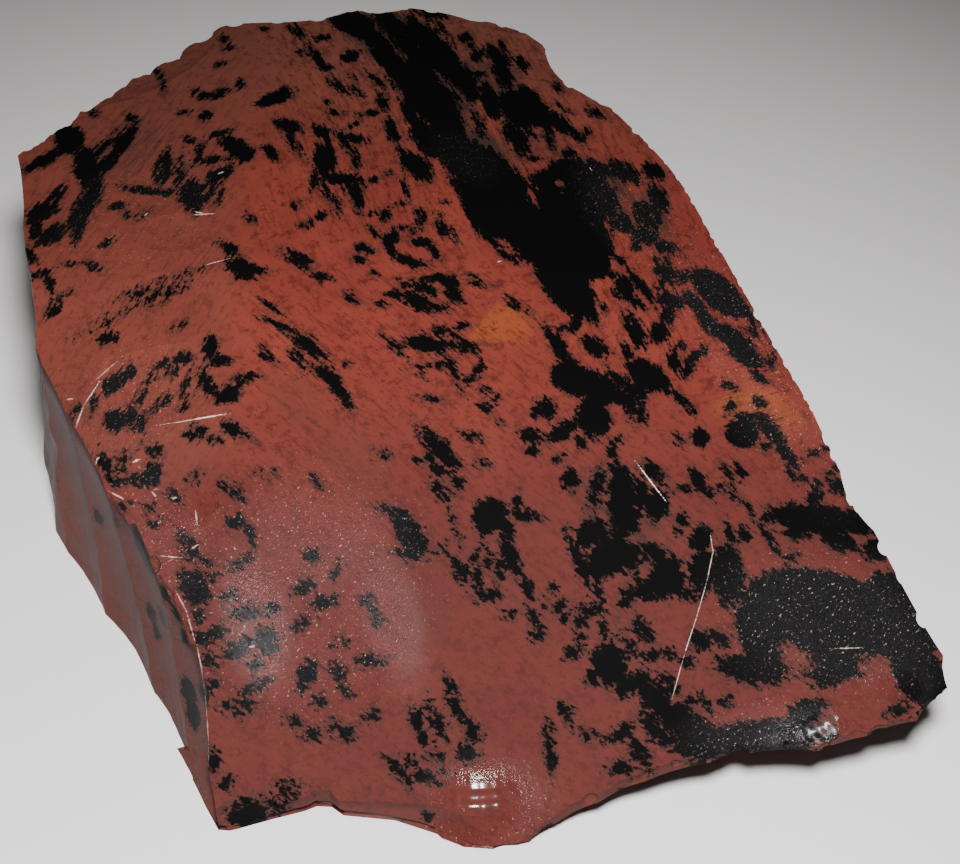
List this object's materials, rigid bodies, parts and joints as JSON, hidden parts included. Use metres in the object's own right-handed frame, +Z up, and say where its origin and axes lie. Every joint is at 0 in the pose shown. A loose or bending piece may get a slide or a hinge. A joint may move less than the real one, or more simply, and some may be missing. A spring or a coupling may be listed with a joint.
{
  "type": "obsidian chunk",
  "caption": "Rough chunk of mahogany obsidian: flat underside, domed red-brown and black glassy top, fluted wall and thin, sharp flaked rim.",
  "frame": {"origin": "middle of the bounding box, at the bottom, on the plane the stone rests on", "axes": "+Z up out of the domed top, +X towards the sharp tip on the right, +Y towards the thick back rim"},
  "size_m": [0.0967, 0.0992, 0.0286],
  "materials": {
    "mahogany_obsidian": "glossy conchoidal fracture, opaque"
  },
  "bodies": {
    "root": {"obsidian_chunk": "mahogany_obsidian"}
  },
  "joints": []
}
